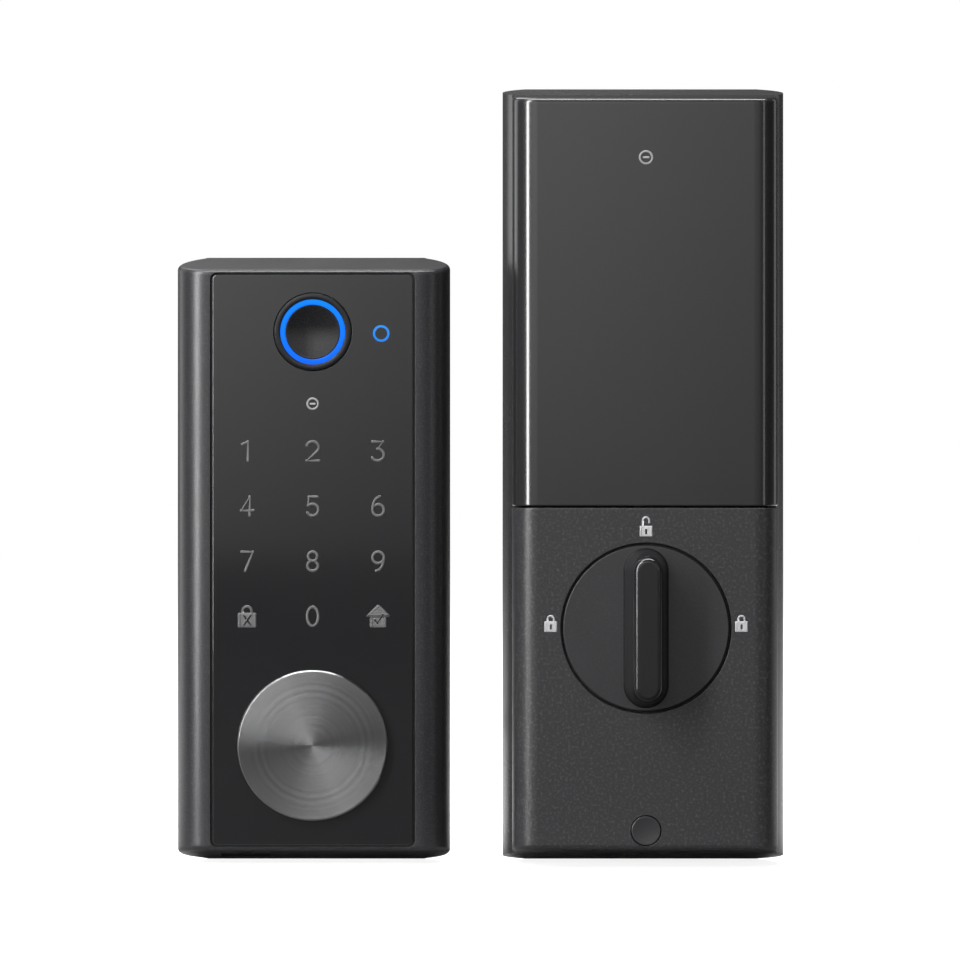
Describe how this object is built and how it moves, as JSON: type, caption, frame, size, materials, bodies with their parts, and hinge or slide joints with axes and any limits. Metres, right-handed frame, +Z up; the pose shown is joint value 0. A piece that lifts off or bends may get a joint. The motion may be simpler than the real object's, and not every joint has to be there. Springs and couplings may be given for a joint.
{
  "type": "keypad smart lock",
  "caption": "Keypad smart lock: slim exterior unit with touch keys, fingerprint sensor and covered key cylinder, and interior unit with thumb-turn, battery bay and geared motor.",
  "frame": {"origin": "on the key cylinder's axis, at the face that meets the door, midway between the two threaded posts", "axes": "+Z up, +Y from the fronts towards the door, +X to the right as seen from the front"},
  "size_m": [0.1489, 0.1156, 0.1918],
  "materials": {
    "housing_paint": "fine satin texture paint on die-cast zinc",
    "panel_gloss": "gloss black with printed grey keys",
    "cover_gloss": "gloss charcoal",
    "cover_matte": "fine grained satin charcoal",
    "frame_matte": "satin charcoal",
    "spun_metal": "spun, dark plated",
    "knob_metal": "smooth satin paint",
    "sensor_black": "dished, satin black",
    "light_blue": "lit blue diffuser",
    "clear_guide": "frosted light guide",
    "board_green": "solder mask",
    "chip_black": "moulded epoxy",
    "led_white": "ceramic and phosphor",
    "steel": "plated steel",
    "brass": "machined brass",
    "zinc": "zinc plated steel",
    "rubber": "soft black rubber",
    "connector_cream": "nylon",
    "gear_nylon": "acetal",
    "cell_sleeve": "plain printed sleeve",
    "reset_red": "moulded"
  },
  "bodies": {
    "root": {"ext_housing": "housing_paint", "touch_panel": "panel_gloss", "light_guide": "clear_guide", "keypad_board": "board_green", "keypad_leds": "led_white", "sensor_bezel": "knob_metal", "sensor_light_ring": "light_blue", "sensor_pad": "sensor_black", "sensor_board": "board_green", "status_light_ring": "light_blue", "latch_magnet": "steel", "cylinder_shell": "brass", "driver_pins": "steel", "pin_springs": "steel", "pin_chamber_cap": "brass", "cylinder_screws": "steel", "mounting_posts": "steel", "ext_back_plate": "zinc", "back_plate_screws": "steel", "ext_gasket": "rubber", "cable_grommet": "rubber", "cable_header": "connector_cream", "buzzer": "chip_black", "usb_socket": "steel", "int_frame": "frame_matte", "mounting_plate": "zinc", "frame_screws": "steel", "lower_cover": "cover_matte", "cover_screws": "steel", "battery_tray": "chip_black", "aa_batteries": "cell_sleeve", "battery_contacts": "steel", "main_board": "board_green", "board_chips": "chip_black", "drive_motor": "steel", "gear_axles": "steel", "gearbox_case": "chip_black", "gearbox_lid": "chip_black", "inner_screws": "steel", "button_spring": "steel", "button_switch": "chip_black"},
    "keyhole_cover": {"keyhole_cover": "spun_metal", "cover_pivot_pin": "steel", "cover_wave_washer": "steel", "cover_pivot_clip": "steel", "cover_magnet": "steel"},
    "key_plug": {"key_plug": "brass", "key_pins": "brass", "tail_cam": "zinc", "torque_blade": "steel"},
    "usb_flap": {"usb_flap": "rubber"},
    "thumbturn": {"thumbturn": "knob_metal", "thumbturn_retainer": "steel", "drive_gear": "gear_nylon"},
    "compound_gear_2": {"compound_gear_2": "gear_nylon"},
    "compound_gear_1": {"compound_gear_1": "gear_nylon"},
    "motor_pinion": {"motor_pinion": "brass"},
    "battery_cover": {"battery_cover": "cover_gloss"},
    "function_button": {"function_button": "knob_metal"},
    "reset_button": {"reset_button": "reset_red"}
  },
  "joints": [
    {"name": "keyhole_cover_swing", "type": "hinge", "parent": "root", "child": "keyhole_cover", "pos_m": [0, -0.022, 0.0145], "axis": [0, 1, 0], "range_deg": [0, 120]},
    {"name": "key_plug_turn", "type": "hinge", "parent": "root", "child": "key_plug", "pos_m": [0, 0, 0], "axis": [0, 1, 0], "range_deg": [-90, 90]},
    {"name": "usb_flap_open", "type": "hinge", "parent": "root", "child": "usb_flap", "pos_m": [-0.0171, -0.00537, -0.02778], "axis": [1, 0, 0], "range_deg": [0, 90]},
    {"name": "thumbturn_turn", "type": "hinge", "parent": "root", "child": "thumbturn", "pos_m": [0.0809, 0, 0.02895], "axis": [0, 1, 0], "range_deg": [-90, 90]},
    {"name": "compound_gear_2_spin", "type": "hinge", "parent": "root", "child": "compound_gear_2", "pos_m": [0.07338, 0, 0.00828], "axis": [0, 1, 0], "range_deg": [-361, 361]},
    {"name": "compound_gear_1_spin", "type": "hinge", "parent": "root", "child": "compound_gear_1", "pos_m": [0.08691, 0, 0.00335], "axis": [0, 1, 0], "range_deg": [-1082, 1082]},
    {"name": "motor_pinion_spin", "type": "hinge", "parent": "root", "child": "motor_pinion", "pos_m": [0.09872, 0, 0.00127], "axis": [0, 1, 0], "range_deg": [-3245, 3245]},
    {"name": "battery_cover_slide", "type": "slide", "parent": "root", "child": "battery_cover", "axis": [0, 0, 1], "range_m": [0, 0.105]},
    {"name": "function_button_press", "type": "slide", "parent": "root", "child": "function_button", "axis": [0, 1, 0], "range_m": [0, 0.0005], "stiffness_N_per_m": 800, "springref_m": -0.0008},
    {"name": "reset_button_press", "type": "slide", "parent": "root", "child": "reset_button", "axis": [0, 1, 0], "range_m": [0, 0.0003], "stiffness_N_per_m": 800, "springref_m": -0.0006}
  ],
  "couplings": [
    {"joint": "compound_gear_2_spin", "follows": "thumbturn_turn", "ratio": -4},
    {"joint": "compound_gear_1_spin", "follows": "thumbturn_turn", "ratio": 12},
    {"joint": "motor_pinion_spin", "follows": "thumbturn_turn", "ratio": -36}
  ]
}
